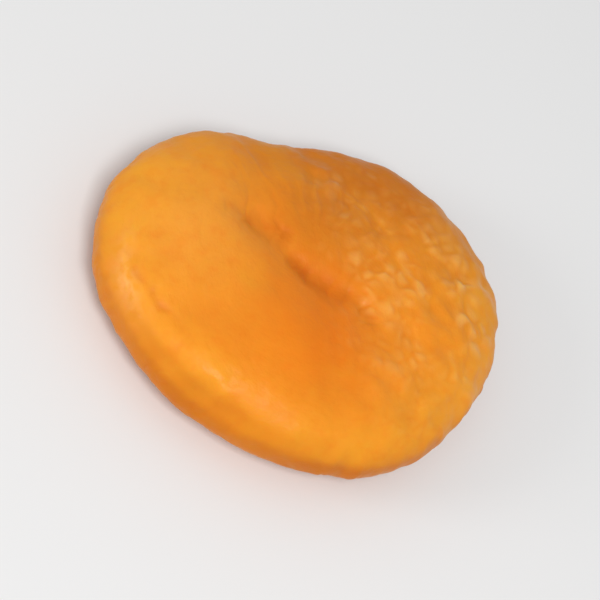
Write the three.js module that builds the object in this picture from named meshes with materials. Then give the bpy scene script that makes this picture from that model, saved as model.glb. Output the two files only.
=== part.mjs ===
// A dried apricot, whole and pitted. It was pressed flat between its stem end and its tip, and it
// lies on its tip side, on a small flat spot.
// Millimetres, +Z up. The origin is the middle of the footprint, on the surface that the fruit
// lies on, and +X runs along its longest way across.

import * as THREE from "three";
import { ImprovedNoise } from "three/addons/math/ImprovedNoise.js";
import { mergeVertices } from "three/addons/utils/BufferGeometryUtils.js";

const { degToRad, lerp, smoothstep } = THREE.MathUtils;

// How finely curves and the outline are measured.
const POINTS_PER_PLACE = 6;
const OUTLINE_STEPS = 720;

// The fruit's size over all.
const LENGTH = 40;
const WIDTH = 33.2;
const THICKNESS = 9.4;

// The outline seen from above is an oval with three blunt corners and a dip where the suture
// crosses the rim.
const CORNER = 0.75;
const CORNER_AT = degToRad(41);
const SUTURE_AT = degToRad(106);
const SUTURE_DIP = 0.6;
const SUTURE_DIP_ANGLE = degToRad(11);

// The widest line round the wall lies a little under half the height, and it waves.
const RIM_HEIGHT = 0.46 * THICKNESS;
const RIM_WAVES = [
  { count: 2, height: 0.35, from: -1 },
  { count: 3, height: 0.21, from: 1 },
];

// The fullness of the rounded edge: 2 is an ellipse, and more is squarer. The edge has a firm
// shoulder on one side, with a groove below it. The groove's place and reach are shares of the
// height from the rim to the top.
const UPPER_FULLNESS = 2.25;
const LOWER_FULLNESS = 2.4;
const SHOULDER_AT = degToRad(-138);
const SHOULDER_ANGLE = degToRad(62);
const SHOULDER_FULLNESS = 1.05;
const SHOULDER_GROOVE = { depth: 0.22, at: 0.42, reach: 0.14 };

// The stem end is a dent in the middle of the upper face, with the slit that the stone left by,
// pressed shut. The suture runs from the slit to the rim as a shallow valley.
const DENT = { x: -0.2, y: 0.5, long: 8.4, wide: 4.6, turn: degToRad(-31), depth: 1.15 };
const SLIT = curve([[-8.2, 5.4], [-6, 4.6], [-2.8, 2.2], [0.3, 0.3], [4, -0.5], [5.8, -2.2]]);
const SLIT_HALF_WIDTH = 1.1;
const SLIT_DEPTH = 0.4;
const SUTURE = curve([[-6, 4.6], [-6.4, 8], [-5.4, 11.6], [-4.3, 15.6]]);
const SUTURE_HALF_WIDTH = 1.9;
const SUTURE_DEPTH = 0.5;

// The forms of the two faces fade out towards the rim, between these shares of the height from
// the rim to the face.
const FADE_FROM = 0.1;
const FADE_TO = 0.8;

// The soft lobes round the dent: a place, how far it reaches and how far it stands out.
const LOBES = [
  { x: -12, y: 4.6, reach: 6.5, rise: 0.55 },
  { x: -2.5, y: -11, reach: 7, rise: 0.4 },
  { x: 12, y: -7, reach: 5, rise: 0.25 },
  { x: 10.5, y: 6, reach: 6, rise: -0.45 },
  { x: 2.8, y: 9.6, reach: 6.5, rise: -0.85 },
];

// The tip is a small dimple on the underside, off the middle, and the suture ends there.
const TIP = { x: 2.2, y: -8.6, reach: 2.6, depth: 0.7 };
const LOWER_SUTURE = curve([[-4.3, 15.6], [-5.6, 11.5], [-7.4, 4], [-5.2, -5.2], [2.2, -8.6]]);
const LOWER_SUTURE_DEPTH = 0.45;

// The flat spot that the fruit lies on. Its edge is a share of its size, and the underside round
// it stays clear of the surface.
const FOOT_LENGTH = 15;
const FOOT_WIDTH = 11;
const FOOT_EDGE = 0.45;
const FOOT_CLEARANCE = 0.05;

// The skin's folds: how far apart they are, how long they are and how far they stand out. The
// crinkles have sharp crests, and they sway from side to side. A layer is a height in the noise.
const SWELL = { spacing: 8.5, height: 0.34, layer: 5 };
const CRINKLE = { spacing: 2.7, length: 6, height: 0.36, level: 0.6, sharpness: 2.4 };
const SWAY = { spacing: 5, reach: 1.3, layer: 9.5 };
const RIM_PLEAT = { spacing: 3.1, length: 9, height: 0.24, least: 0.35, from: 0.78, to: 0.97 };

// The skin is crinkled most on one half of the upper face and round the edge, in patches, and
// least in the smooth half.
const CREASED_SIDE = { lean: 0.35, from: -3, to: 7 };
const CREASED_EDGE = { from: 0.6, to: 0.85, strength: 0.45 };
const PATCHES = { spacing: 7, from: -0.35, to: 0.35, least: 0.45, layer: 0.5 };
const SMOOTHEST = 0.15;

// Splits of each edge of the icosahedron, and how much of the mesh lies below the rim.
const DETAIL = 21;
const LOWER_SHARE = 0.4;
const MERGE_WITHIN = 1e-5;

const noise = new ImprovedNoise();

/** Points along a smooth curve through a few places on the plan. */
function curve(places) {
  const through = places.map(([x, y]) => new THREE.Vector2(x, y));
  return new THREE.SplineCurve(through).getPoints(POINTS_PER_PLACE * places.length);
}

/** 1 in the middle, falling to nothing past 2. */
function bell(distance) {
  return Math.exp(-distance * distance);
}

/** The angle from one bearing to another, between a half turn each way. */
function bearing(angle, from) {
  return Math.atan2(Math.sin(angle - from), Math.cos(angle - from));
}

/** The distance on the plan from a place to a curve's nearest point. */
function distanceTo(points, x, y) {
  const place = new THREE.Vector2(x, y);
  const step = new THREE.Vector2();
  const offset = new THREE.Vector2();
  let least = Infinity;
  for (let i = 1; i < points.length; i++) {
    step.subVectors(points[i], points[i - 1]);
    offset.subVectors(place, points[i - 1]);
    const share = THREE.MathUtils.clamp(offset.dot(step) / step.lengthSq(), 0, 1);
    least = Math.min(least, offset.addScaledVector(step, -share).length());
  }
  return least;
}

/** How far out a place lies: 0 in the middle and 1 on the outline. */
function outness(x, y) {
  return Math.hypot(x / (LENGTH / 2), y / (WIDTH / 2));
}

/** How far the outline stands from the middle of the fruit at an angle. */
function rimRadius(angle) {
  const oval = (LENGTH + WIDTH) / 4 + ((LENGTH - WIDTH) / 4) * Math.cos(2 * angle);
  const corners = CORNER * Math.cos(3 * (angle - CORNER_AT));
  const dip = SUTURE_DIP * bell(bearing(angle, SUTURE_AT) / SUTURE_DIP_ANGLE);
  return oval + corners - dip;
}

/** The middle of the outline's own box, which becomes the origin. */
function outlineMiddle() {
  const box = new THREE.Box2();
  for (let i = 0; i < OUTLINE_STEPS; i++) {
    const angle = (2 * Math.PI * i) / OUTLINE_STEPS;
    box.expandByPoint(new THREE.Vector2(rimRadius(angle), 0).rotateAround(new THREE.Vector2(), angle));
  }
  return box.getCenter(new THREE.Vector2());
}

/** How far the upper face sinks or rises from its plain dome. */
function upperForm(x, y) {
  const along = new THREE.Vector2(x - DENT.x, y - DENT.y).rotateAround(new THREE.Vector2(), -DENT.turn);
  let height = -DENT.depth * bell(Math.hypot(along.x / DENT.long, along.y / DENT.wide));
  height -= SLIT_DEPTH * bell(distanceTo(SLIT, x, y) / SLIT_HALF_WIDTH);
  height -= SUTURE_DEPTH * bell(distanceTo(SUTURE, x, y) / SUTURE_HALF_WIDTH);
  for (const lobe of LOBES) {
    height += lobe.rise * bell(Math.hypot(x - lobe.x, y - lobe.y) / lobe.reach);
  }
  return height;
}

/** How far the underside sinks from its plain dome. */
function lowerForm(x, y) {
  const tip = TIP.depth * bell(Math.hypot(x - TIP.x, y - TIP.y) / TIP.reach);
  const suture = LOWER_SUTURE_DEPTH * bell(distanceTo(LOWER_SUTURE, x, y) / SUTURE_HALF_WIDTH);
  return Math.max(tip, suture);
}

/** The height of the rim's widest line at an angle. */
function rimHeight(angle) {
  let height = RIM_HEIGHT;
  for (const wave of RIM_WAVES) {
    height += wave.height * Math.cos(wave.count * angle - wave.from);
  }
  return height;
}

/** Moves a point of the unit sphere to its place on the smooth fruit. */
function shape(point, middle) {
  const angle = Math.atan2(point.y, point.x);
  const radius = rimRadius(angle);
  const divide = 2 * LOWER_SHARE - 1;
  const isUpper = point.z > divide;
  const share = isUpper ? (1 - point.z) / (1 - divide) : (1 + point.z) / (1 + divide);
  const reach = Math.sin((Math.PI / 2) * Math.sqrt(Math.max(0, share)));
  const shoulder = bell(bearing(angle, SHOULDER_AT) / SHOULDER_ANGLE);
  const fullness = isUpper ? UPPER_FULLNESS + SHOULDER_FULLNESS * shoulder : LOWER_FULLNESS;
  const dome = Math.max(0, 1 - reach ** fullness) ** (1 / fullness);
  const low = (dome - SHOULDER_GROOVE.at) / SHOULDER_GROOVE.reach;
  const groove = isUpper ? SHOULDER_GROOVE.depth * shoulder * bell(low) : 0;
  const x = (radius * reach - groove) * Math.cos(angle) - middle.x;
  const y = (radius * reach - groove) * Math.sin(angle) - middle.y;
  const inner = smoothstep(dome, FADE_FROM, FADE_TO);
  const rim = rimHeight(angle);
  const z = isUpper
    ? lerp(rim, THICKNESS, dome) + inner * upperForm(x, y)
    : lerp(rim, 0, dome) + inner * lowerForm(x, y);
  point.set(x, y, z);
}

/** How much a place belongs to the crinkled side of the fruit, from 0 to 1. */
function creasedSide(x, y) {
  return smoothstep(x + CREASED_SIDE.lean * y, CREASED_SIDE.from, CREASED_SIDE.to);
}

/** How strongly the skin is crinkled at a place, from 0 to 1. */
function crinkled(x, y) {
  const edge = smoothstep(outness(x, y), CREASED_EDGE.from, CREASED_EDGE.to);
  const most = Math.max(creasedSide(x, y), CREASED_EDGE.strength * edge);
  const patch = noise.noise(x / PATCHES.spacing, y / PATCHES.spacing, PATCHES.layer);
  return lerp(SMOOTHEST, 1, most) * lerp(PATCHES.least, 1, smoothstep(patch, PATCHES.from, PATCHES.to));
}

/** How far the crinkles stand out at a place, from their middle level. */
function crinkles({ x, y, z }) {
  const sway = SWAY.reach * noise.noise(x / SWAY.spacing, y / SWAY.spacing, SWAY.layer);
  const along = (x + sway) / CRINKLE.spacing;
  const across = (y - sway) / CRINKLE.spacing;
  const wave = Math.abs(noise.noise(along, across, z / CRINKLE.length));
  return 1 - Math.min(1, CRINKLE.sharpness * wave) - CRINKLE.level;
}

/** How far the skin stands out from the smooth fruit at a place. */
function relief(point) {
  const { x, y, z } = point;
  const layer = z / SWELL.spacing + SWELL.layer;
  const swell = noise.noise(x / SWELL.spacing, y / SWELL.spacing, layer);
  const wall = smoothstep(outness(x, y), RIM_PLEAT.from, RIM_PLEAT.to);
  const pleated = wall * lerp(RIM_PLEAT.least, 1, creasedSide(x, y));
  const pleat = noise.noise(x / RIM_PLEAT.spacing, y / RIM_PLEAT.spacing, z / RIM_PLEAT.length);
  const crinkle = crinkled(x, y) * crinkles(point);
  return SWELL.height * swell + CRINKLE.height * crinkle + RIM_PLEAT.height * pleated * pleat;
}

/** Raises the skin's folds along the surface's own normals. */
function raiseFolds(geometry) {
  geometry.computeVertexNormals();
  const { position, normal } = geometry.attributes;
  const point = new THREE.Vector3();
  const outward = new THREE.Vector3();
  for (let i = 0; i < position.count; i++) {
    point.fromBufferAttribute(position, i);
    outward.fromBufferAttribute(normal, i);
    point.addScaledVector(outward, relief(point));
    position.setXYZ(i, point.x, point.y, point.z);
  }
}

/** Presses the flat spot into the underside, with a soft edge round it. */
function pressFoot(geometry) {
  const { position } = geometry.attributes;
  for (let i = 0; i < position.count; i++) {
    const x = position.getX(i);
    const y = position.getY(i);
    if (position.getZ(i) > RIM_HEIGHT) continue;
    const out = Math.hypot(x / (FOOT_LENGTH / 2), y / (FOOT_WIDTH / 2));
    const clear = smoothstep(out, 1, 1 + FOOT_EDGE);
    position.setZ(i, clear * Math.max(FOOT_CLEARANCE, position.getZ(i)));
  }
}

/** Sets the middle of the footprint and the resting surface at the origin. */
function settle(geometry) {
  geometry.computeBoundingBox();
  const { min, max } = geometry.boundingBox;
  geometry.translate(-(min.x + max.x) / 2, -(min.y + max.y) / 2, -min.z);
}

/** The whole fruit as one closed skin. */
function fruitGeometry() {
  const sphere = new THREE.IcosahedronGeometry(1, DETAIL);
  sphere.deleteAttribute("normal");
  sphere.deleteAttribute("uv");
  const geometry = mergeVertices(sphere, MERGE_WITHIN);
  const middle = outlineMiddle();
  const point = new THREE.Vector3();
  const { position } = geometry.attributes;
  for (let i = 0; i < position.count; i++) {
    point.fromBufferAttribute(position, i);
    shape(point, middle);
    position.setXYZ(i, point.x, point.y, point.z);
  }
  raiseFolds(geometry);
  pressFoot(geometry);
  settle(geometry);
  geometry.computeVertexNormals();
  return geometry;
}

const flesh = new THREE.MeshStandardMaterial({ color: "#f0962a", roughness: 0.45, metalness: 0 });

const fruit = new THREE.Mesh(fruitGeometry(), flesh);
fruit.name = "dried_apricot";

const group = new THREE.Group();
group.add(fruit);

export default group;
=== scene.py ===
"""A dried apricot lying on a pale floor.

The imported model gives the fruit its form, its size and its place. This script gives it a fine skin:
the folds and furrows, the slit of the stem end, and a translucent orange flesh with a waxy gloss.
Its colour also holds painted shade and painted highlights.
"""

from __future__ import annotations

import logging
import math
from dataclasses import dataclass
from enum import Enum
from typing import Any

import bmesh
import bpy
from mathutils import Matrix, Vector, kdtree, noise

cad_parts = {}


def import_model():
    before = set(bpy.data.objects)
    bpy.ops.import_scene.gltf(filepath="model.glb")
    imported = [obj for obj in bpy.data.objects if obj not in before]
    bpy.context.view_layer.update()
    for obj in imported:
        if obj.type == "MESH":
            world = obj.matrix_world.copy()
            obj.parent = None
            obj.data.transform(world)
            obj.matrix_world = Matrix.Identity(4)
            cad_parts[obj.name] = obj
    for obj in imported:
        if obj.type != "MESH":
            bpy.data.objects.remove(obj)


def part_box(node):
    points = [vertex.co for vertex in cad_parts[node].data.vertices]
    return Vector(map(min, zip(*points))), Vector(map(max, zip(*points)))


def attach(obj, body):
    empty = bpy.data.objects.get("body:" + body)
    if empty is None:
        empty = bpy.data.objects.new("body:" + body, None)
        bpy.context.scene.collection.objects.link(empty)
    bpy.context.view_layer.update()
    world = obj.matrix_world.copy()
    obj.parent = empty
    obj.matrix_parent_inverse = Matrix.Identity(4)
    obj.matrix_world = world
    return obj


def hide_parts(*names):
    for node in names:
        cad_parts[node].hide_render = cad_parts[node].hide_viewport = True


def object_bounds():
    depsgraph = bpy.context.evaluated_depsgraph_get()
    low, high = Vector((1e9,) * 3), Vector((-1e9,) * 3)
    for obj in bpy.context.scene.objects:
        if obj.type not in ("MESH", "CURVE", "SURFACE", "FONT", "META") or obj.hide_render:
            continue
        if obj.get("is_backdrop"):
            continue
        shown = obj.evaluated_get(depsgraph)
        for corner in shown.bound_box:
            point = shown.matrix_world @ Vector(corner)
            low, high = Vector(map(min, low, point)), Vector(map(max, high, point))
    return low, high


LOG = logging.getLogger("dried_apricot")
MM = 0.001
NOISE_SEED = 3

Colour = tuple[float, float, float]
Place = tuple[float, float]


def smooth_step(value: float, low: float, high: float) -> float:
    """Rise softly from 0 at low to 1 at high.

    Args:
        value: The number to place between the two ends.
        low: Where the rise starts. It may be more than high, for a fall.
        high: Where the rise ends.

    Returns:
        A share from 0 to 1.
    """
    share = min(1.0, max(0.0, (value - low) / (high - low)))
    return share * share * (3.0 - 2.0 * share)


def bell(distance: float) -> float:
    """Give 1 in the middle, falling to nothing past 2."""
    return math.exp(-distance * distance)


def mixed(first: float, second: float, share: float) -> float:
    """Give the number that lies a share of the way from first to second."""
    return first + (second - first) * share


def near(spot: Vector, middle: Place, reach: float) -> float:
    """Give how nearly a spot lies over a place on the plan.

    Args:
        spot: A place on the skin.
        middle: The place on the plan.
        reach: How far from it still counts.

    Returns:
        A share from 0 to 1.
    """
    return bell(math.hypot(spot.x - middle[0], spot.y - middle[1]) / reach)


class Value:
    """A shader's number or colour, written into expressions as a plain number is."""

    def __init__(self, shader: Shader, socket: bpy.types.NodeSocket) -> None:
        """Keep the socket and the shader that new nodes go into."""
        self.shader = shader
        self.socket = socket

    def _math(self, operation: str, *terms: Any) -> Value:
        """Add a Math node.

        Args:
            operation: The node's operation.
            terms: Its inputs, in order.

        Returns:
            The node's result.
        """
        sockets = dict(enumerate(terms))
        made = self.shader.node("ShaderNodeMath", {"operation": operation}, sockets)
        return Value(self.shader, made.outputs[0])

    def __add__(self, other: Value | float) -> Value:
        """Add another value."""
        return self._math("ADD", self, other)

    def __radd__(self, other: float) -> Value:
        """Add this value to a number."""
        return self._math("ADD", other, self)

    def __sub__(self, other: Value | float) -> Value:
        """Take another value away."""
        return self._math("SUBTRACT", self, other)

    def __rsub__(self, other: float) -> Value:
        """Take this value away from a number."""
        return self._math("SUBTRACT", other, self)

    def __mul__(self, other: Value | float) -> Value:
        """Multiply by another value."""
        return self._math("MULTIPLY", self, other)

    def __rmul__(self, other: float) -> Value:
        """Multiply a number by this value."""
        return self._math("MULTIPLY", other, self)

    def __pow__(self, other: Value | float) -> Value:
        """Raise to a power."""
        return self._math("POWER", self, other)

    def clamped(self) -> Value:
        """Hold the value between 0 and 1."""
        return self._math("MINIMUM", self._math("MAXIMUM", self, 0.0), 1.0)


class Shader:
    """One material's nodes, each made by the same method."""

    def __init__(self, name: str) -> None:
        """Start an empty material.

        Args:
            name: The material's name.
        """
        self.material = bpy.data.materials.new(name)
        self.material.use_nodes = True
        self.tree = self.material.node_tree
        self.tree.nodes.clear()
        self.place = Value(self, self.node("ShaderNodeTexCoord").outputs["Object"])

    def node(
        self,
        kind: str,
        settings: dict[str, Any] | None = None,
        sockets: dict[str | int, Any] | None = None,
    ) -> bpy.types.Node:
        """Make one node.

        Args:
            kind: Blender's name for the type of node.
            settings: Its own settings, such as a Math node's operation, set first.
            sockets: The number, colour or Value of each of its inputs, by name or number.

        Returns:
            The new node.
        """
        made = self.tree.nodes.new(kind)
        for name, setting in (settings or {}).items():
            setattr(made, name, setting)
        for key, value in (sockets or {}).items():
            if isinstance(value, Value):
                self.tree.links.new(value.socket, made.inputs[key])
            else:
                made.inputs[key].default_value = value
        return made

    def moved(self, steps_per_mm: float) -> Value:
        """Scale the piece's own coordinates to a pattern's steps in a millimetre."""
        sockets = {"Vector": self.place, "Scale": (steps_per_mm / MM,) * 3}
        return Value(self, self.node("ShaderNodeMapping", sockets=sockets).outputs["Vector"])

    def scaled(self, vector: Value, steps: Colour) -> Value:
        """Scale a vector, each of its numbers by its own."""
        made = self.node("ShaderNodeVectorMath", {"operation": "MULTIPLY"}, {0: vector, 1: steps})
        return Value(self, made.outputs["Vector"])

    def noise(self, place: Value, detail: float = 2.0, roughness: float = 0.5) -> Value:
        """Make soft uneven noise.

        Args:
            place: The coordinates, in the noise's own steps.
            detail: The number of finer layers.
            roughness: How strong the finer layers are.

        Returns:
            Noise from 0 to 1.
        """
        sockets = {"Vector": place, "Scale": 1.0, "Detail": detail, "Roughness": roughness}
        return Value(self, self.node("ShaderNodeTexNoise", sockets=sockets).outputs["Fac"])

    def mottle(self, spacing: float, detail: float = 2.0) -> Value:
        """Make noise whose patches lie so many millimetres apart."""
        return self.noise(self.moved(1.0 / spacing), detail)

    def from_mesh(self, attribute: str) -> Value:
        """Read a number that the mesh holds at each of its points."""
        made = self.node("ShaderNodeAttribute", {"attribute_name": attribute})
        return Value(self, made.outputs["Fac"])

    def vector_from_mesh(self, attribute: str) -> Value:
        """Read a vector that the mesh holds at each of its points."""
        made = self.node("ShaderNodeAttribute", {"attribute_name": attribute})
        return Value(self, made.outputs["Vector"])

    def between(self, value: Value, low: float, high: float) -> Value:
        """Give a soft share from 0 at low to 1 at high."""
        sockets = {"Value": value, "From Min": low, "From Max": high}
        made = self.node("ShaderNodeMapRange", {"interpolation_type": "SMOOTHSTEP"}, sockets)
        return Value(self, made.outputs["Result"])

    def blend(self, share: Value | float, first: Any, second: Any) -> Value:
        """Blend two colours.

        Args:
            share: 0 for the first colour and 1 for the second.
            first: A colour or a Value.
            second: A colour or a Value.

        Returns:
            The blended colour.
        """
        colours = [c if isinstance(c, Value) else (*c, 1.0) for c in (first, second)]
        sockets = {0: share, 6: colours[0], 7: colours[1]}
        made = self.node("ShaderNodeMix", {"data_type": "RGBA"}, sockets)
        return Value(self, made.outputs[2])

    def finish(self, sockets: dict[str, Any]) -> bpy.types.Material:
        """Close the material with its surface.

        Args:
            sockets: The surface's inputs.

        Returns:
            The finished material.
        """
        surface = Value(self, self.node("ShaderNodeBsdfPrincipled", sockets=sockets).outputs["BSDF"])
        self.node("ShaderNodeOutputMaterial", sockets={"Surface": surface})
        return self.material


class Form(Enum):
    """What one layer of the skin's relief is made of."""

    SWELLS = "soft swells"
    BUMPS = "rounded bumps with creases between them"
    BEADS = "small round beads of uneven size"
    PLEATS = "sharp-crested pleats"


class Run(Enum):
    """Which way a layer of relief runs."""

    EVERY_WAY = "every way"
    ROUND = "round the edge"
    OUTWARD = "outwards from the stem end"
    DOWN = "down the wall"


class Area(Enum):
    """Where on the fruit a layer of relief lies."""

    WHOLE = "whole skin"
    CREASED_SIDE = "creased side of the upper face"
    BEADED = "beaded patches of the creased side"
    # The ridge's paleness is a painted highlight, laid on by the skin's colours.
    SHOULDER = "pale ridge on the left shoulder"
    SMOOTH_LOBE = "smooth side of the upper face"
    FAR_EDGE = "edge past the dent"
    WALL = "wall"
    UNDERSIDE = "underside"


BEAD_DRAW = 7.3
BEAD_REACH = 0.55
BEAD_GAP = 0.45
LEAST_BEAD = 0.4
BUMP_LEVEL = 0.45
CREASE_WIDTH = 0.22
PLEAT_LEVEL = 0.55
PLEAT_STEEPNESS = 2.6


@dataclass(frozen=True)
class Relief:
    """One layer of the skin's relief, in millimetres."""

    form: Form
    run: Run
    area: Area
    spacing: float
    length: float
    height: float
    seed: float

    @property
    def is_highlit(self) -> bool:
        """Tell whether the layer's tops get the painted highlight of the beads."""
        return self.form is Form.BEADS or self.area is Area.BEADED

    def steps(self, spot: Vector, reach: float) -> Vector:
        """Give a spot in the pattern's own steps.

        Args:
            spot: A place on the skin, in millimetres.
            reach: The fruit's mean radius.

        Returns:
            The place in the pattern, stretched along the folds.
        """
        ring = ring_place(spot, reach)
        long, short = 1.0 / self.length, 1.0 / self.spacing
        places = {
            Run.EVERY_WAY: (spot.x * short, spot.y * short, spot.z * short),
            Run.ROUND: (ring.x * long, ring.y * long, ring.z * short),
            Run.OUTWARD: (ring.x * short, ring.y * short, ring.z * long),
            Run.DOWN: (spot.x * short, spot.y * short, spot.z * long),
        }
        return Vector(places[self.run]) + Vector((self.seed, 0.7 * self.seed, 1.3 * self.seed))

    def rise(self, spot: Vector, reach: float) -> float:
        """Give how far this layer lifts the skin.

        Args:
            spot: A place on the skin, in millimetres.
            reach: The fruit's mean radius.

        Returns:
            The lift, in millimetres. It is less than nothing in a crease.
        """
        steps = self.steps(spot, reach)
        if self.form is Form.BEADS:
            steps.z = self.seed
            distances, middles = noise.voronoi(steps)
            fullness = smooth_step(noise.noise(BEAD_DRAW * middles[0]), -0.35, 0.35)
            gap = smooth_step(distances[1] - distances[0], 0.0, BEAD_GAP)
            return self.height * mixed(LEAST_BEAD, 1.0, fullness) * (bell(distances[0] / BEAD_REACH) * gap)
        wave = noise.noise(steps)
        if self.form is Form.BUMPS:
            return self.height * (BUMP_LEVEL - bell(wave / CREASE_WIDTH))
        if self.form is Form.PLEATS:
            return self.height * (PLEAT_LEVEL - min(1.0, PLEAT_STEEPNESS * abs(wave)))
        return self.height * wave


SKIN_RELIEF = (
    Relief(Form.SWELLS, Run.EVERY_WAY, Area.WHOLE, 4.2, 4.2, 0.16, 3.1),
    Relief(Form.SWELLS, Run.EVERY_WAY, Area.WHOLE, 1.5, 1.5, 0.045, 8.2),
    Relief(Form.BUMPS, Run.EVERY_WAY, Area.WHOLE, 0.70, 0.70, 0.016, 15.7),
    Relief(Form.SWELLS, Run.EVERY_WAY, Area.CREASED_SIDE, 2.2, 2.2, 0.20, 1.7),
    Relief(Form.BUMPS, Run.EVERY_WAY, Area.CREASED_SIDE, 1.5, 1.5, 0.035, 12.4),
    Relief(Form.BEADS, Run.EVERY_WAY, Area.BEADED, 1.5, 1.5, 0.26, 27.5),
    Relief(Form.BEADS, Run.EVERY_WAY, Area.CREASED_SIDE, 1.15, 1.15, 0.06, 52.5),
    Relief(Form.PLEATS, Run.EVERY_WAY, Area.BEADED, 1.9, 1.9, 0.12, 60.4),
    Relief(Form.BUMPS, Run.ROUND, Area.SHOULDER, 0.9, 2.4, 0.09, 5.6),
    Relief(Form.BUMPS, Run.ROUND, Area.SMOOTH_LOBE, 0.90, 3.2, 0.018, 9.9),
    Relief(Form.PLEATS, Run.OUTWARD, Area.FAR_EDGE, 2.4, 7.0, 0.12, 21.3),
    Relief(Form.BUMPS, Run.DOWN, Area.WALL, 1.3, 3.2, 0.08, 31.9),
    Relief(Form.BUMPS, Run.ROUND, Area.WALL, 0.85, 3.6, 0.07, 37.1),
    Relief(Form.PLEATS, Run.OUTWARD, Area.UNDERSIDE, 1.9, 6.0, 0.09, 44.0),
    Relief(Form.BUMPS, Run.EVERY_WAY, Area.UNDERSIDE, 1.3, 1.3, 0.06, 48.3),
)


def ring_place(spot: Vector, reach: float) -> Vector:
    """Give a spot's place round the fruit and out from its middle.

    Args:
        spot: A place on the skin, in millimetres.
        reach: The fruit's mean radius.

    Returns:
        The spot's bearing as a point on a circle of the mean radius, and its way out as the third number.
    """
    out = math.hypot(spot.x, spot.y)
    grown = reach / max(out, 1e-3)
    return Vector((spot.x * grown, spot.y * grown, out))


@dataclass(frozen=True)
class FurrowPoint:
    """One point along a furrow: its place, half width and depth, in millimetres."""

    x: float
    y: float
    width: float
    depth: float


SLIT = (
    FurrowPoint(-3.2, 2.7, 0.60, 0.00),
    FurrowPoint(-1.9, 1.7, 0.80, 0.15),
    FurrowPoint(-0.6, 0.8, 0.95, 0.18),
    FurrowPoint(0.9, 0.2, 0.95, 0.14),
    FurrowPoint(2.5, -0.2, 0.85, 0.08),
    FurrowPoint(4.2, -0.6, 0.75, 0.09),
    FurrowPoint(5.4, -1.7, 0.65, 0.09),
    FurrowPoint(5.9, -4.2, 0.50, 0.00),
)
PUCKER = (
    FurrowPoint(-10.8, 5.2, 0.70, 0.00),
    FurrowPoint(-8.3, 5.0, 0.80, 0.07),
    FurrowPoint(-6.0, 4.7, 0.85, 0.08),
    FurrowPoint(-4.2, 4.3, 1.50, 0.16),
    FurrowPoint(-2.2, 3.5, 0.90, 0.00),
)
SIDE_CREASE = (
    FurrowPoint(-18.1, -0.2, 0.35, 0.00),
    FurrowPoint(-17.4, -2.3, 0.40, 0.09),
    FurrowPoint(-16.1, -4.1, 0.40, 0.09),
    FurrowPoint(-14.7, -5.9, 0.45, 0.09),
    FurrowPoint(-13.0, -7.7, 0.45, 0.08),
    FurrowPoint(-11.2, -9.4, 0.40, 0.00),
)


@dataclass(frozen=True)
class Pressed:
    """What a furrow does to one spot.

    The depth, the lip's height and the ribs' are in millimetres, and the furrow's painted shade is a share.
    """

    depth: float
    lip: float
    ribs: float
    furrow_shade: float


class Furrow:
    """A furrow pressed into the upper face. It wanders, and short ribs pucker its banks."""

    STEPS = 30
    FAR_BANK = Vector((0.45, 0.89, 0.0))
    FAR_REACH = 3.4
    NEAR_REACH = 1.3
    RIB_SPACING = 1.8
    RIB_LENGTH = 4.0
    RIB_WIDTH = 0.2
    RIB_LEVEL = 0.3
    STRAY = 0.55
    STRAY_SPACING = 1.9
    BEAT_SPACING = 1.4
    DEEPEST_BEAT = 1.25
    LIP_HEIGHT = 0.15
    LIP_AT = 2.1
    LIP_WIDTH = 1.2

    def __init__(
        self,
        points: tuple[FurrowPoint, ...],
        rib_height: float,
        furrow_shade: float,
        least: float,
        seed: float,
    ) -> None:
        """Lay places closely along the furrow, to measure distances from.

        Args:
            points: The furrow's points, in order.
            rib_height: How high the ribs on its banks stand.
            furrow_shade: How dark its painted shade is at its deepest, as a share.
            least: How deep it stays between its pits, as a share.
            seed: Where in the noise its puckers are taken from.
        """
        self.rib_height = rib_height
        self.furrow_shade = furrow_shade
        self.least = least
        self.deepest = max(point.depth for point in points)
        self.seed = seed
        self.places: list[FurrowPoint] = []
        self.runs: list[float] = []
        run = 0.0
        for first, last in zip(points, points[1:]):
            length = math.hypot(last.x - first.x, last.y - first.y)
            for step in range(self.STEPS):
                share = step / self.STEPS
                self.places.append(
                    FurrowPoint(
                        mixed(first.x, last.x, share),
                        mixed(first.y, last.y, share),
                        mixed(first.width, last.width, share),
                        mixed(first.depth, last.depth, share),
                    )
                )
                self.runs.append(run + share * length)
            run += length
        self.finder = kdtree.KDTree(len(self.places))
        for number, place in enumerate(self.places):
            self.finder.insert((place.x, place.y, 0.0), number)
        self.finder.balance()

    def press(self, spot: Vector) -> Pressed:
        """Give what the furrow does to the skin at a spot.

        Args:
            spot: A place on the skin.

        Returns:
            How deep the furrow is there, how high its lip and its ribs stand, and how dark its painted shade
            is.
        """
        flat = Vector((spot.x, spot.y, 0.0))
        strayed = flat + self.STRAY * noise.noise_vector(flat / self.STRAY_SPACING)
        number, distance = self.finder.find(strayed)[1:]
        place, run = self.places[number], self.runs[number]
        beat = smooth_step(noise.noise(Vector((run / self.BEAT_SPACING, self.seed, 0.5))), -0.2, 0.25)
        depth = place.depth * mixed(self.least, self.DEEPEST_BEAT, beat) * bell(distance / place.width)
        past = distance - self.LIP_AT * place.width
        lip = self.LIP_HEIGHT * place.depth * bell(past / (self.LIP_WIDTH * place.width))
        is_far = (strayed - Vector((place.x, place.y, 0.0))).dot(self.FAR_BANK) > 0
        reach = self.FAR_REACH if is_far else self.NEAR_REACH
        rib_place = Vector((run / self.RIB_SPACING, distance / self.RIB_LENGTH, self.seed + 3.5))
        wave = noise.noise(rib_place)
        ends = smooth_step(place.depth / self.deepest, 0.0, 0.5)
        level = self.RIB_LEVEL - bell(wave / self.RIB_WIDTH)
        ribs = self.rib_height * ends * bell(distance / reach) * level
        # Painted shade: the furrow is darker where it is deeper.
        furrow_shade = self.furrow_shade * min(1.0, depth / self.deepest)
        return Pressed(depth, lip, ribs, furrow_shade)


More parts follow.
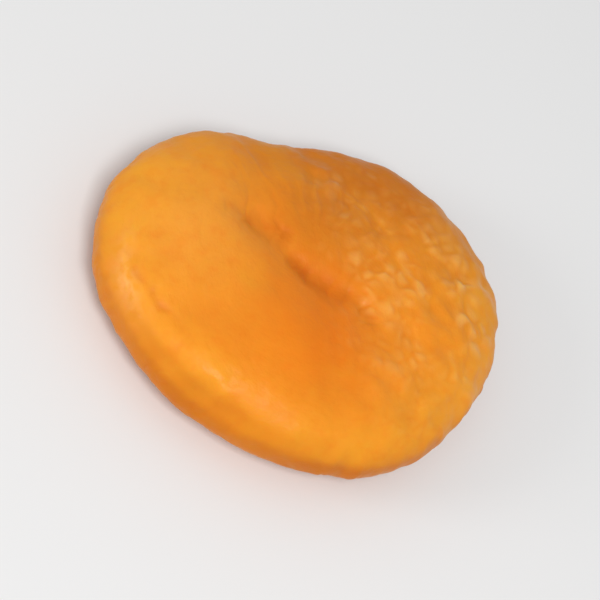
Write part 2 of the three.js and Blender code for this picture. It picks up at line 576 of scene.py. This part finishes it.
@dataclass(frozen=True)
class Washes:
    """How strongly each colour is laid over the ones before it, as shares. Some of them are painted shade
    and painted highlights.
    """

    # the left lobe: its own golden tone and a painted sheen
    lobe: float = 0.70
    rim: float = 0.75
    creased: float = 0.22
    freckles: float = 0.25
    clouds: float = 0.35
    # painted shade on the far bank and the far edge, which slope away from the light
    toasted: float = 0.80
    # how much of the wall's painted shade the left lobe takes away
    wall_shade_lost_on_lobe: float = 0.75
    # painted highlight on the tops of the beads
    bead: float = 0.62
    # painted highlight along the left shoulder's ridge
    shoulder: float = 0.55
    # painted shade in the troughs between the folds
    trough_shade: float = 0.25
    # painted shade in the slit, the pucker and the side crease
    slit: float = 0.90


@dataclass(frozen=True)
class Wax:
    """How strongly the waxy coat shows on each part of the skin, as shares."""

    least: float = 0.02
    plain: float = 0.02
    creased: float = 0.40
    shoulder: float = 0.45
    bead: float = 0.80
    lost_on_wall: float = 0.80
    roughness: float = 0.27


@dataclass(frozen=True)
class Skin:
    """The skin's colours and gloss, with painted shade and painted highlights among the colours. Lengths are
    in millimetres.
    """

    orange: Colour = (0.93, 0.315, 0.016)
    golden: Colour = (0.90, 0.400, 0.025)
    # The left lobe's colour: partly its own golden tone, partly a painted sheen, paler and bluer.
    lobe_gold_and_sheen: Colour = (0.94, 0.390, 0.050)
    deep: Colour = (0.88, 0.210, 0.005)
    # Painted shade: the darker brown-orange laid on the far bank and the far edge.
    toasted: Colour = (0.55, 0.140, 0.004)
    # Painted shade: the side wall darkened to amber.
    wall_shade: Colour = (0.58, 0.152, 0.002)
    # Painted highlight: the pale peach laid on the tops of the beads.
    highlit: Colour = (0.98, 0.490, 0.090)
    # Painted highlight: the warm whitish-pink streak along the left shoulder's ridge.
    shoulder_highlight: Colour = (1.0, 0.520, 0.160)
    # The furrow colour is painted shade, in the furrows and in the troughs between the folds.
    furrow: Colour = (0.66, 0.140, 0.004)
    bloom: Colour = (1.0, 0.720, 0.300)
    washes: Washes = Washes()
    wax: Wax = Wax()
    roughness: float = 0.42
    patchiness: float = 0.20
    crest_polish: float = 0.10
    shine: float = 0.18
    refraction: float = 1.45
    fuzz: float = 0.12
    fuzz_roughness: float = 0.35
    grain_strength: float = 0.40
    grain_height: float = 0.16
    sheer: float = 0.50
    sheer_depth: float = 1.5
    sheer_reach: Colour = (1.0, 0.34, 0.07)

    def colour(self, shader: Shader) -> Value:
        """Lay the skin's colours over each other: its own tones, painted shade and painted highlights.

        Args:
            shader: The material's nodes.

        Returns:
            The skin's colour.
        """
        washes = self.washes
        clouds = shader.mottle(7.0)
        freckles = shader.mottle(1.3, detail=3.0)
        deep = (shader.from_mesh("deep") * (0.65 + 0.6 * clouds)).clamped()
        rim = (shader.from_mesh("rim") * (0.25 + clouds)).clamped()
        colour = shader.blend(deep, self.orange, self.deep)
        # The left lobe gets its own golden tone and a painted sheen.
        colour = shader.blend(washes.lobe * shader.from_mesh("lobe"), colour, self.lobe_gold_and_sheen)
        gold = washes.rim * rim + washes.creased * shader.from_mesh("creased")
        colour = shader.blend(gold.clamped(), colour, self.golden)
        colour = shader.blend(washes.freckles * shader.between(freckles, 0.45, 0.75), colour, self.deep)
        colour = shader.blend(washes.clouds * shader.between(clouds, 0.52, 0.75), colour, self.golden)
        # Painted shade on the far bank and the far edge, where the skin slopes away from the light.
        colour = shader.blend(washes.toasted * shader.from_mesh("toasted"), colour, self.toasted)
        # Painted shade on the side wall, less of it below the left lobe.
        clear_of_lobe = 1.0 - washes.wall_shade_lost_on_lobe * shader.from_mesh("lobe")
        wall = shader.from_mesh("wall") * (0.55 + 0.6 * clouds) * clear_of_lobe
        colour = shader.blend(wall.clamped(), colour, self.wall_shade)
        # Painted highlight on the tops of the beads.
        colour = shader.blend(washes.bead * shader.from_mesh("bead"), colour, self.highlit)
        # Painted highlight along the left shoulder's ridge, broken up by the freckle noise.
        shoulder_highlight_share = shader.from_mesh("shoulder") * shader.between(freckles, 0.30, 0.60)
        colour = shader.blend(washes.shoulder * shoulder_highlight_share, colour, self.shoulder_highlight)
        # Painted shade: the troughs between the folds darken towards the furrow colour.
        trough_shade = (1.0 - shader.from_mesh("crest")) ** 2.0
        colour = shader.blend(washes.trough_shade * trough_shade, colour, self.furrow)
        # Painted shade in the slit, the pucker and the side crease.
        return shader.blend(washes.slit * shader.from_mesh("slit"), colour, self.furrow)

    def fine_grain(self, shader: Shader) -> Value:
        """Give the height of the finest wrinkles, which run round the fruit, and of a grain between them."""
        ring = shader.vector_from_mesh("ring")
        crepe = shader.noise(shader.scaled(ring, (0.7, 0.7, 2.6)), detail=3.0, roughness=0.6)
        return 0.6 * crepe + 0.4 * shader.mottle(0.30, detail=2.0)

    def coat(self, shader: Shader, gloss: Value, crest: Value) -> Value:
        """Give how strongly the waxy coat shows.

        Args:
            shader: The material's nodes.
            gloss: Soft noise that makes the coat patchy.
            crest: How high a place stands among the folds.

        Returns:
            A share from 0 to 1.
        """
        wax = self.wax
        shiny = wax.plain + wax.creased * shader.from_mesh("creased")
        shiny = shiny + wax.shoulder * shader.from_mesh("shoulder")
        coat = wax.least + shiny * shader.between(gloss, 0.30, 0.60) * (crest ** 2.0)
        coat = coat + wax.bead * shader.from_mesh("bead")
        return (coat * (1.0 - wax.lost_on_wall * shader.from_mesh("wall"))).clamped()

    def material(self) -> bpy.types.Material:
        """Make the skin's material.

        Returns:
            The finished material.
        """
        shader = Shader("apricot_flesh")
        gloss = shader.mottle(4.5, detail=3.0)
        crest = shader.from_mesh("crest")
        grain = {
            "Strength": self.grain_strength,
            "Distance": self.grain_height * MM,
            "Height": self.fine_grain(shader),
        }
        bump = shader.node("ShaderNodeBump", sockets=grain)
        roughness = self.roughness + self.patchiness * (gloss - 0.5) - self.crest_polish * (crest - 0.5)
        return shader.finish(
            {
                "Base Color": self.colour(shader),
                "Roughness": roughness.clamped(),
                "Coat Weight": self.coat(shader, gloss, crest),
                "Normal": Value(shader, bump.outputs["Normal"]),
                "Coat Roughness": self.wax.roughness,
                "Sheen Weight": self.fuzz,
                "Sheen Roughness": self.fuzz_roughness,
                "Sheen Tint": (*self.bloom, 1.0),
                "IOR": self.refraction,
                "Specular IOR Level": self.shine,
                "Subsurface Weight": self.sheer,
                "Subsurface Radius": self.sheer_reach,
                "Subsurface Scale": self.sheer_depth * MM,
            }
        )


@dataclass
class Fruit:
    """The fruit: its fine mesh and its skin. Sizes are in millimetres."""

    node: str = "dried_apricot"
    grain: float = 0.19
    relaxing: int = 13
    deep_middle: Place = (1.0, -4.0)
    deep_reach: float = 7.5
    # Where the left lobe's golden tone and painted sheen lie.
    lobe: Place = (-14.0, 3.5)
    lobe_reach: float = 8.0
    far_bank: Place = (1.2, 8.6)
    far_bank_reach: float = 7.0
    # How strongly the painted shade lies on the far bank.
    far_bank_shade_share: float = 0.75
    beaded: Place = (11.6, 1.4)
    beaded_reach: float = 7.6
    shoulder_at: float = -170.0
    shoulder_angle: float = 11.0
    shoulder_out: float = 0.905
    shoulder_width: float = 0.035
    far_edge_at: float = 70.0
    far_edge_angle: float = 50.0
    foot_clear: float = 0.5
    wander: float = 0.55
    wander_spacing: float = 2.6
    patch_spacing: float = 5.5
    bead_patch_spacing: float = 3.6
    full_bead: float = 0.18
    crest_gain: float = 3.2
    least_share: float = 0.02
    skin: Skin = Skin()

    def __post_init__(self) -> None:
        """Read the fruit's box from the frame."""
        low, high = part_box(self.node)
        self.half = (high - low) / 2 / MM
        self.reach = (self.half.x + self.half.y) / 2

    def out(self, spot: Vector) -> float:
        """Give how far out a spot lies: 0 in the middle and 1 on the outline."""
        return math.hypot(spot.x / self.half.x, spot.y / self.half.y)

    def toward(self, spot: Vector, bearing: float, angle: float) -> float:
        """Give how nearly a spot lies towards a bearing.

        Args:
            spot: A place on the skin.
            bearing: The bearing from the middle, in degrees.
            angle: How far from it still counts, in degrees.

        Returns:
            A share from 0 to 1.
        """
        turn = math.degrees(math.atan2(spot.y, spot.x)) - bearing
        turn = (turn + 180.0) % 360.0 - 180.0
        return bell(turn / angle)

    def shares(self, spot: Vector, normal: Vector) -> dict[Area, float]:
        """Give how strongly the relief of each area shows at a spot.

        Args:
            spot: A place on the skin.
            normal: The way the skin faces there.

        Returns:
            A share from 0 to 1 for each area.
        """
        out = self.out(spot)
        up = smooth_step(normal.z, 0.1, 0.6)
        patches = smooth_step(noise.noise(spot / self.patch_spacing + Vector((0, 0, 17))), -0.35, 0.3)
        beads = smooth_step(noise.noise(spot / self.bead_patch_spacing + Vector((0, 0, 41))), -0.4, 0.1)
        side = smooth_step(spot.x + 0.35 * spot.y, -1.0, 7.0)
        inside = smooth_step(out, 1.0, 0.88)
        far = self.toward(spot, self.far_edge_at, self.far_edge_angle)
        shoulder = bell((out - self.shoulder_out) / self.shoulder_width)
        return {
            Area.WHOLE: 1.0,
            Area.CREASED_SIDE: up * side * inside * mixed(0.3, 1.0, patches),
            Area.BEADED: up * inside * beads * near(spot, self.beaded, self.beaded_reach),
            Area.SHOULDER: shoulder * self.toward(spot, self.shoulder_at, self.shoulder_angle),
            Area.SMOOTH_LOBE: up * (1.0 - side) * smooth_step(out, 0.3, 0.75),
            Area.FAR_EDGE: smooth_step(out, 0.3, 0.5) * inside * far * mixed(0.4, 1.0, patches),
            Area.WALL: smooth_step(abs(normal.z), 0.75, 0.25) * mixed(0.3, 1.0, patches),
            Area.UNDERSIDE: smooth_step(normal.z, -0.3, -0.8) * smooth_step(out, 0.25, 0.6),
        }

    def relaxed_solid(self) -> bmesh.types.BMesh:
        """Copy the solid onto an even fine mesh, and soften its facets.

        Returns:
            The fine mesh, in metres.
        """
        solid = bmesh.new()
        solid.from_mesh(bpy.data.objects[self.node].data)
        bmesh.ops.remove_doubles(solid, verts=solid.verts, dist=0.001 * MM)
        mesh = bpy.data.meshes.new("solid_copy")
        solid.to_mesh(mesh)
        solid.free()
        blank = bpy.data.objects.new("solid_copy", mesh)
        bpy.context.scene.collection.objects.link(blank)
        remesh = blank.modifiers.new("even_grain", "REMESH")
        remesh.mode = "VOXEL"
        remesh.voxel_size = self.grain * MM
        evaluated = blank.evaluated_get(bpy.context.evaluated_depsgraph_get())
        fine = bmesh.new()
        fine.from_mesh(evaluated.to_mesh())
        evaluated.to_mesh_clear()
        bpy.data.objects.remove(blank)
        bpy.data.meshes.remove(mesh)
        every_way = {"use_axis_x": True, "use_axis_y": True, "use_axis_z": True}
        for _ in range(self.relaxing):
            bmesh.ops.smooth_vert(fine, verts=fine.verts, factor=0.5, **every_way)
        return fine

    def marks(
        self, spot: Vector, normal: Vector, shares: dict[Area, float], fold: float, bead: float, furrow_shade: float
    ) -> dict[str, float]:
        """Give what the colours follow at a spot.

        Args:
            spot: A place on the skin.
            normal: The way the skin faces there.
            shares: How strongly each area shows there.
            fold: How far the folds lift the skin.
            bead: How far the beads lift it.
            furrow_shade: How dark the furrows' painted shade is, as a share.

        Returns:
            A share from 0 to 1 for each of the mesh's attributes.
        """
        out = self.out(spot)
        upper = smooth_step(normal.z, 0.0, 0.5)
        # The far edge and the far bank get painted shade, as they slope away from the light.
        far_edge = self.toward(spot, self.far_edge_at, self.far_edge_angle) * smooth_step(out, 0.4, 0.8)
        far_bank = self.far_bank_shade_share * upper * near(spot, self.far_bank, self.far_bank_reach)
        return {
            # the beads' lift: it places their painted highlight and their coat
            "bead": min(1.0, bead / self.full_bead),
            "crest": min(1.0, max(0.0, 0.5 + self.crest_gain * fold)),
            "creased": shares[Area.CREASED_SIDE],
            "deep": upper * near(spot, self.deep_middle, self.deep_reach),
            "lobe": smooth_step(normal.z, -0.5, 0.1) * near(spot, self.lobe, self.lobe_reach),
            # the furrows' painted shade
            "slit": furrow_shade,
            "rim": smooth_step(out, 0.62, 1.0),
            # the shoulder ridge: it places its painted highlight and its coat
            "shoulder": shares[Area.SHOULDER],
            # painted shade on the far bank and the far edge
            "toasted": max(far_bank, far_edge),
            # the side wall: it places the wall's painted shade and thins the coat
            "wall": smooth_step(normal.z, 0.93, 0.08),
        }

    def raise_skin(self, fine: bmesh.types.BMesh) -> None:
        """Lift the folds, press the furrows in, and keep what the colours follow.

        Args:
            fine: The fine mesh, changed in place.
        """
        furrows = (
            # Each furrow's painted shade is given at its deepest, as a share.
            Furrow(SLIT, rib_height=0.12, furrow_shade=1.00, least=0.55, seed=2.5),
            Furrow(PUCKER, rib_height=0.16, furrow_shade=1.00, least=0.55, seed=6.5),
            Furrow(SIDE_CREASE, rib_height=0.02, furrow_shade=0.35, least=0.25, seed=11.5),
        )
        names = ("bead", "crest", "creased", "deep", "lobe", "slit", "rim", "shoulder", "toasted", "wall")
        kept = {name: fine.verts.layers.float.new(name) for name in names}
        ring = fine.verts.layers.float_vector.new("ring")
        fine.normal_update()
        moves: list[tuple[Any, Vector]] = []
        for vert in fine.verts:
            spot = vert.co / MM
            normal = vert.normal
            upper = smooth_step(normal.z, 0.0, 0.5)
            clear = smooth_step(spot.z, 0.02, self.foot_clear)
            strayed = spot + self.wander * noise.noise_vector(spot / self.wander_spacing)
            shares = self.shares(spot, normal)
            pressed = [furrow.press(spot) for furrow in furrows]
            # The furrows' painted shade lies on the upper face, and the beads give way to it.
            furrow_shade = upper * max(press.furrow_shade for press in pressed)
            shares[Area.BEADED] *= 1.0 - furrow_shade
            fold = 0.0
            bead = 0.0
            for relief in SKIN_RELIEF:
                if shares[relief.area] > self.least_share:
                    rise = shares[relief.area] * relief.rise(strayed, self.reach)
                    fold += rise
                    # The lift of these layers places the painted highlight on the beads.
                    bead += max(0.0, rise) if relief.is_highlit else 0.0
            cut = upper * sum(press.depth for press in pressed)
            lips = upper * sum(press.lip + press.ribs for press in pressed)
            vert[ring] = ring_place(spot, self.reach)
            for name, mark in self.marks(spot, normal, shares, fold, bead, furrow_shade).items():
                vert[kept[name]] = mark
            moves.append((vert, normal * (clear * (fold + lips - cut) * MM)))
        for vert, move in moves:
            vert.co += move
            vert.co.z = max(0.0, vert.co.z)

    def build(self) -> bpy.types.Object:
        """Make the fine fruit in place of the solid.

        Returns:
            The fruit's object.
        """
        fine = self.relaxed_solid()
        self.raise_skin(fine)
        for face in fine.faces:
            face.smooth = True
        mesh = bpy.data.meshes.new("apricot_skin")
        fine.to_mesh(mesh)
        fine.free()
        mesh.materials.append(self.skin.material())
        piece = bpy.data.objects.new("apricot_skin", mesh)
        bpy.context.scene.collection.objects.link(piece)
        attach(piece, "root")
        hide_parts(self.node)
        return piece


@dataclass(frozen=True)
class Softbox:
    """A square lamp. Its place is counted from the camera: right, up and back, as shares."""

    name: str
    right: float
    up: float
    back: float
    distance: float
    size: float
    power: float


@dataclass
class Studio:
    """The pale floor, the soft light and the camera. Sizes are in metres."""

    elevation: float = 53.0
    near_side: float = -125.0
    roll: float = 43.5
    lens: float = 200.0
    sensor: float = 36.0
    frame_width: float = 0.0545
    floor_size: float = 3.0
    floor_colour: Colour = (0.86, 0.86, 0.86)
    floor_roughness: float = 0.9
    floor_shine: float = 0.10
    sky: float = 0.48
    lamps: tuple[Softbox, ...] = (
        Softbox("key", 0.18, -0.04, 0.98, 0.50, 0.16, 1.24),
        Softbox("side", -0.70, 0.25, 0.66, 0.60, 0.20, 0.68),
    )

    def __post_init__(self) -> None:
        """Work out which ways the camera's right, up and back point."""
        height, side, roll = (math.radians(a) for a in (self.elevation, self.near_side, self.roll))
        flat = Vector((math.cos(side), math.sin(side), 0.0)) * math.cos(height)
        self.back = flat + Vector((0.0, 0.0, math.sin(height)))
        level = Vector((0.0, 0.0, 1.0)).cross(self.back).normalized()
        plumb = self.back.cross(level)
        self.right = level * math.cos(roll) + plumb * math.sin(roll)
        self.up = plumb * math.cos(roll) - level * math.sin(roll)

    def lay_floor(self) -> None:
        """Make the floor of matt pale paper."""
        shape = bmesh.new()
        bmesh.ops.create_grid(shape, x_segments=1, y_segments=1, size=self.floor_size / 2)
        mesh = bpy.data.meshes.new("floor")
        shape.to_mesh(mesh)
        shape.free()
        paper = {
            "Base Color": (*self.floor_colour, 1.0),
            "Roughness": self.floor_roughness,
            "Specular IOR Level": self.floor_shine,
        }
        mesh.materials.append(Shader("floor_paper").finish(paper))
        floor = bpy.data.objects.new("floor", mesh)
        bpy.context.scene.collection.objects.link(floor)
        floor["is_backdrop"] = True

    def hang_lamps(self, target: Vector) -> None:
        """Hang the lamps round the target.

        Args:
            target: The point that they light.
        """
        for lamp in self.lamps:
            light = bpy.data.lights.new(lamp.name, "AREA")
            light.shape = "SQUARE"
            light.size = lamp.size
            light.energy = lamp.power
            toward = (self.right * lamp.right + self.up * lamp.up + self.back * lamp.back).normalized()
            hung = bpy.data.objects.new(lamp.name, light)
            hung.location = target + toward * lamp.distance
            hung.rotation_mode = "QUATERNION"
            hung.rotation_quaternion = toward.to_track_quat("Z", "Y")
            bpy.context.scene.collection.objects.link(hung)

    def light_sky(self) -> None:
        """Light the room evenly from all sides."""
        world = bpy.data.worlds.new("room")
        world.use_nodes = True
        background = world.node_tree.nodes["Background"]
        background.inputs["Color"].default_value = (1.0, 1.0, 1.0, 1.0)
        background.inputs["Strength"].default_value = self.sky
        bpy.context.scene.world = world

    def place_camera(self, target: Vector) -> None:
        """Point the camera at the target from the photograph's side.

        Args:
            target: The point in the middle of the picture.
        """
        lens = bpy.data.cameras.new("camera")
        lens.lens = self.lens
        lens.sensor_width = self.sensor
        distance = self.frame_width * self.lens / self.sensor
        camera = bpy.data.objects.new("camera", lens)
        axes = Matrix((self.right, self.up, self.back)).transposed().to_4x4()
        camera.matrix_world = Matrix.Translation(target + self.back * distance) @ axes
        bpy.context.scene.collection.objects.link(camera)
        bpy.context.scene.camera = camera

    def build(self, target: Vector) -> None:
        """Set the studio up round the fruit.

        Args:
            target: The fruit's middle.
        """
        self.lay_floor()
        self.hang_lamps(target)
        self.light_sky()
        self.place_camera(target)
        bpy.context.scene.view_settings.view_transform = "Standard"


def main() -> None:
    """Load the frame, and build the fruit and the studio round it."""
    logging.basicConfig(level=logging.INFO, format="%(name)s: %(message)s")
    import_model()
    solid_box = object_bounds()
    noise.seed_set(NOISE_SEED)
    fruit = Fruit().build()
    LOG.info("%s has %d points", fruit.name, len(fruit.data.vertices))
    middle = (solid_box[0] + solid_box[1]) / 2
    Studio().build(middle)
    LOG.info("the studio stands round %s", tuple(round(n, 4) for n in middle))
    bpy.context.view_layer.update()


if __name__ == "__main__":
    main()
